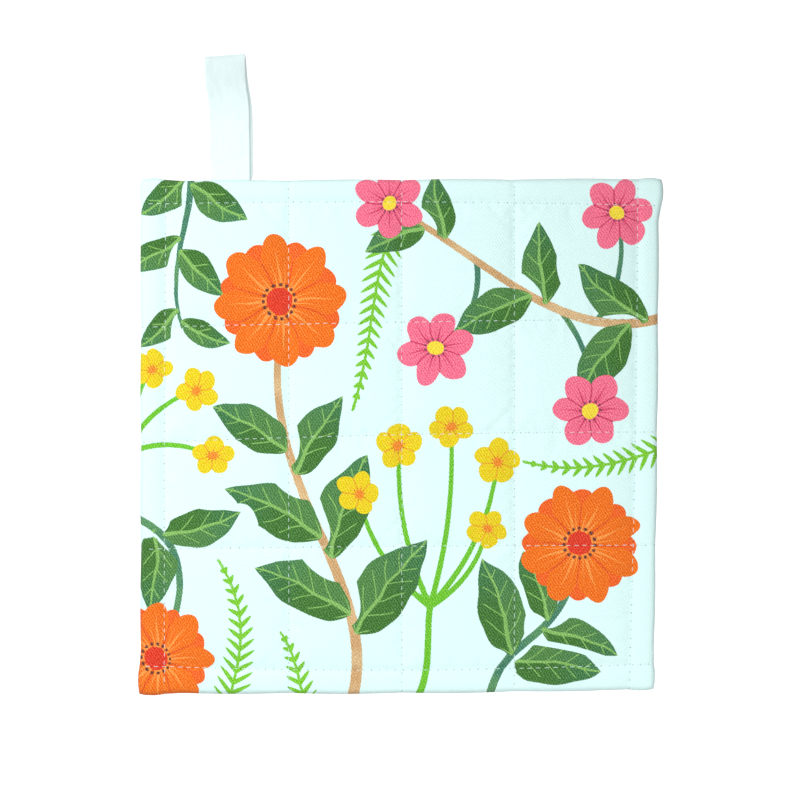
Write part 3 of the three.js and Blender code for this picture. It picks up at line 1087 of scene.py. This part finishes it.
# Hanging loop: one tape folded over, both ends together in the top seam
TAPE_WIDTH = 15.5
TAPE_THICK = 0.7
TAPE_EDGE = 0.2
LOOP_X = -65.6
LOOP_REACH = 49.1
LOOP_LEAN = -0.01
LOOP_BEND = -1.4
BEND_FROM, BEND_TO = 26, 42
LOOP_HEIGHT = 7.4
LAY_DOWN = 10
RISE_FROM = 20
FOLD_NOSE = 6.4
LOWER_SLIP = 1.15
SLIP_FROM, SLIP_TO = 0, 1.5
SLIP_FADE = 4
FOLD_SLANT = 1.5
FOLD_SLANT_RUN = 9
LAYER_GAP, FOLD_GAP = 0.35, 0.7
TAIL = 6
TAPE_STEPS = 46
FOLD_STEPS = 22
TAPE_STRIPS = 20
EDGE_STEPS = 4
TAIL_TOP = SEAM_HEIGHT + TAPE_THICK
FOLD_START = LOOP_REACH - FOLD_NOSE


# Heights of the middle of the tape's lower and upper layer
def layer_heights(out):
    half = TAPE_THICK / 2
    lower = (SEAM_HEIGHT - TAPE_THICK) * (1 - smoothstep(out, 0, LAY_DOWN)) + half
    upper = TAIL_TOP + (LOOP_HEIGHT - TAIL_TOP) * smoothstep(out, RISE_FROM, FOLD_START) - half
    return lower, upper


# Middle line of the tape from its lower end, round the fold, to its upper end: way out, height, layer
def tape_route():
    half = TAPE_THICK / 2
    out = np.linspace(-TAIL, FOLD_START, TAPE_STEPS)
    lower, upper = layer_heights(out)
    turn = np.linspace(-np.pi / 2, np.pi / 2, FOLD_STEPS)[1:-1]
    nose = FOLD_START + (FOLD_NOSE - half) * np.cos(turn)
    bend = LOOP_HEIGHT / 2 + (LOOP_HEIGHT / 2 - half) * np.sin(turn)
    layer = np.concatenate([np.zeros(TAPE_STEPS), (1 + np.sin(turn)) / 2, np.ones(TAPE_STEPS)])
    way_out = np.concatenate([out, nose, out[::-1]])
    height = np.concatenate([lower, bend, upper[::-1]])
    return np.column_stack([way_out, height]), layer


# Rounded cross-section of the tape, once round: place across and share of the half thickness
def tape_section():
    turn = np.linspace(0, np.pi / 2, EDGE_STEPS)
    rim = TAPE_EDGE * (1 - np.cos(turn))
    flat = np.linspace(TAPE_EDGE, TAPE_WIDTH - TAPE_EDGE, TAPE_STRIPS)[1:-1]
    across = np.concatenate([rim, flat, TAPE_WIDTH - rim[::-1]]) - TAPE_WIDTH / 2
    swell = np.concatenate([np.sin(turn), np.ones(len(flat)), np.sin(turn)[::-1]])
    return np.concatenate([across, across[-2:0:-1]]), np.concatenate([swell, -swell[-2:0:-1]])


def loop_piece():
    route, layer = tape_route()
    steps = np.linalg.norm(np.diff(route, axis=0), axis=1)
    run = np.concatenate([[0], np.cumsum(steps)])
    ahead = np.gradient(route, axis=0)
    ahead /= np.linalg.norm(ahead, axis=1, keepdims=True)
    normal = np.column_stack([ahead[:, 1], -ahead[:, 0]])
    across, swell = tape_section()
    spot = route[:, None] + normal[:, None] * (swell * TAPE_THICK / 2)[None, :, None]
    out, height = spot[..., 0], spot[..., 1]
    fade = 1 - np.clip(out / LOOP_REACH, 0, 1) ** SLIP_FADE
    slip = (1 - layer)[:, None] * LOWER_SLIP * smoothstep(out, SLIP_FROM, SLIP_TO) * fade
    right = across / TAPE_WIDTH + 0.5
    slant = FOLD_SLANT * smoothstep(out, LOOP_REACH - FOLD_SLANT_RUN, LOOP_REACH)
    lower, upper = layer_heights(out)
    apart = TAPE_THICK + LAYER_GAP + (FOLD_GAP - LAYER_GAP) * smoothstep(out, FOLD_START / 2, FOLD_START)
    sag = np.maximum(0, upper - lower - apart) * right * layer[:, None]
    seam_y = level_place(ROW_LINES, np.array(float(EDGE_LEVEL)), LOOP_X / HALF_SIDE) + EDGE_BULGE
    x = LOOP_X + across + LOOP_LEAN * out + LOOP_BEND * smoothstep(out, BEND_FROM, BEND_TO) + slip
    points = np.stack([x, seam_y + out - slant * (1 - right), height - sag], axis=-1)
    index = np.arange(out.size).reshape(out.shape)
    closed = np.concatenate([index, index[:, :1]], axis=1)
    faces = grid_faces(closed) + [index[0, ::-1].tolist(), index[-1].tolist()]
    piece = new_mesh("hanging_loop_tape", points, faces)
    weave = np.stack(np.broadcast_arrays(run[:, None], across, layer[:, None]), axis=-1)
    give_vectors(piece, "weave", weave)
    return piece, run[-1]


# Camera straight above, as far as a long lens needs to take in the photograph's square
FRAME_SIDE = 310
FRAME_MIDDLE = (-0.25, -9.5)
FRAME_HEIGHT = 3
LENS = 100
SENSOR = 36
CLIP_END = 20


def add_camera():
    camera = bpy.data.cameras.new("camera")
    camera.lens = LENS
    camera.sensor_width = SENSOR
    camera.clip_end = CLIP_END
    holder = bpy.data.objects.new("camera", camera)
    distance = FRAME_SIDE * LENS / SENSOR
    holder.location = [value * MM for value in (*FRAME_MIDDLE, FRAME_HEIGHT + distance)]
    bpy.context.collection.objects.link(holder)
    bpy.context.scene.camera = holder


# White floor just under the pad, whose glow falls on nothing but itself; sizes in metres
WHITE = (1.0, 1.0, 1.0, 1.0)
FLOOR_HALF = 2.0
FLOOR_DEPTH = -0.0004
FLOOR_GREY = (0.3, 0.3, 0.3, 1.0)
FLOOR_GLOW = 0.92


def add_floor():
    mesh = bpy.data.meshes.new("floor")
    corners = [(x, y, FLOOR_DEPTH) for x in (-FLOOR_HALF, FLOOR_HALF) for y in (-FLOOR_HALF, FLOOR_HALF)]
    mesh.from_pydata(corners, [], [(0, 2, 3, 1)])
    floor = bpy.data.objects.new("floor", mesh)
    bpy.context.collection.objects.link(floor)
    material, _, shader = new_material("pale_floor", roughness=0.9, sheen=0.0)
    shader.inputs["Base Color"].default_value = FLOOR_GREY
    shader.inputs["Emission Color"].default_value = WHITE
    shader.inputs["Emission Strength"].default_value = FLOOR_GLOW
    mesh.materials.append(material)
    lit_by_floor = bpy.data.collections.new("lit_by_floor")
    lit_by_floor.objects.link(floor)
    floor.light_linking.receiver_collection = lit_by_floor


# Soft light all round, stronger from the left and from the loop's side
WORLD_LIGHT = 0.2
LAMP_SIZE = 0.27
# Round lamps that face the pad's middle: name, place (m), power (W)
LAMPS = (
    ("above", (-0.12, -0.12, 0.40), 0.87),
    ("left", (-0.40, 0.0, 0.25), 0.37),
    ("loop corner", (-0.28, 0.28, 0.25), 0.75),
    ("opposite corner", (0.28, -0.28, 0.25), 0.55),
    ("far", (0.0, 1.20, 1.20), 7.0),
)


def add_light():
    scene = bpy.context.scene
    world = bpy.data.worlds.new("studio")
    world.use_nodes = True
    background = world.node_tree.nodes["Background"]
    background.inputs["Color"].default_value = WHITE
    background.inputs["Strength"].default_value = WORLD_LIGHT
    scene.world = world
    scene.view_settings.view_transform = "Standard"
    for name, place, power in LAMPS:
        lamp = bpy.data.lights.new(name, "AREA")
        lamp.shape = "DISK"
        lamp.size = LAMP_SIZE
        lamp.energy = power
        holder = bpy.data.objects.new(name, lamp)
        holder.location = place
        holder.rotation_euler = (-Vector(place)).to_track_quat("-Z", "Y").to_euler()
        holder.visible_camera = False
        bpy.context.collection.objects.link(holder)


add_camera()
add_floor()
add_light()

pad = Pad()
pad_piece = pad.build()
plan_points = np.column_stack([pad.x.ravel(), pad.y.ravel()])
leaf, leaf_style = draw_leaves(plan_points)
flower, flower_style = draw_flowers(plan_points)
seen_front = np.stack([pad.x, pad.y, np.ones_like(pad.x)], axis=-1)
# What the material reads at each point: name, values on the front, one value for all of the back
drawing = (
    ("cloth", seen_front, (0, 0, 0)),
    ("stems", draw_stems(plan_points), (FAR, FAR, FAR)),
    ("leaf", leaf, (0, FAR, 0)),
    ("leaf_style", leaf_style, (1, 1, 1)),
    ("flower", flower, (FAR, FAR, 0)),
    ("flower_style", flower_style, (5, 0, 1)),
    ("fern", draw_ferns(plan_points), (0, FAR, 1)),
    ("stitching_down", pad.down, (FAR, 0, FAR)),
    ("stitching_across", pad.across, (FAR, 0, FAR)),
)
for name, on_front, on_back in drawing:
    give_vectors(pad_piece, name, pad.with_back(on_front, on_back))
pad_piece.data.materials.append(printed_twill())
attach(pad_piece, "root")
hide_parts("quilted_pad")

thread = thread_piece(pad)
thread.data.materials.append(white_cotton("white_thread", WHITE_THREAD, warp=0.3, weft=0.3, depth=0.03))
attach(thread, "root")

loop, tape_length = loop_piece()
loop.data.materials.append(white_cotton("white_tape", WHITE_TAPE, warp=0.62, weft=0.62, depth=0.04))
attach(loop, "root")
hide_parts("hanging_loop")
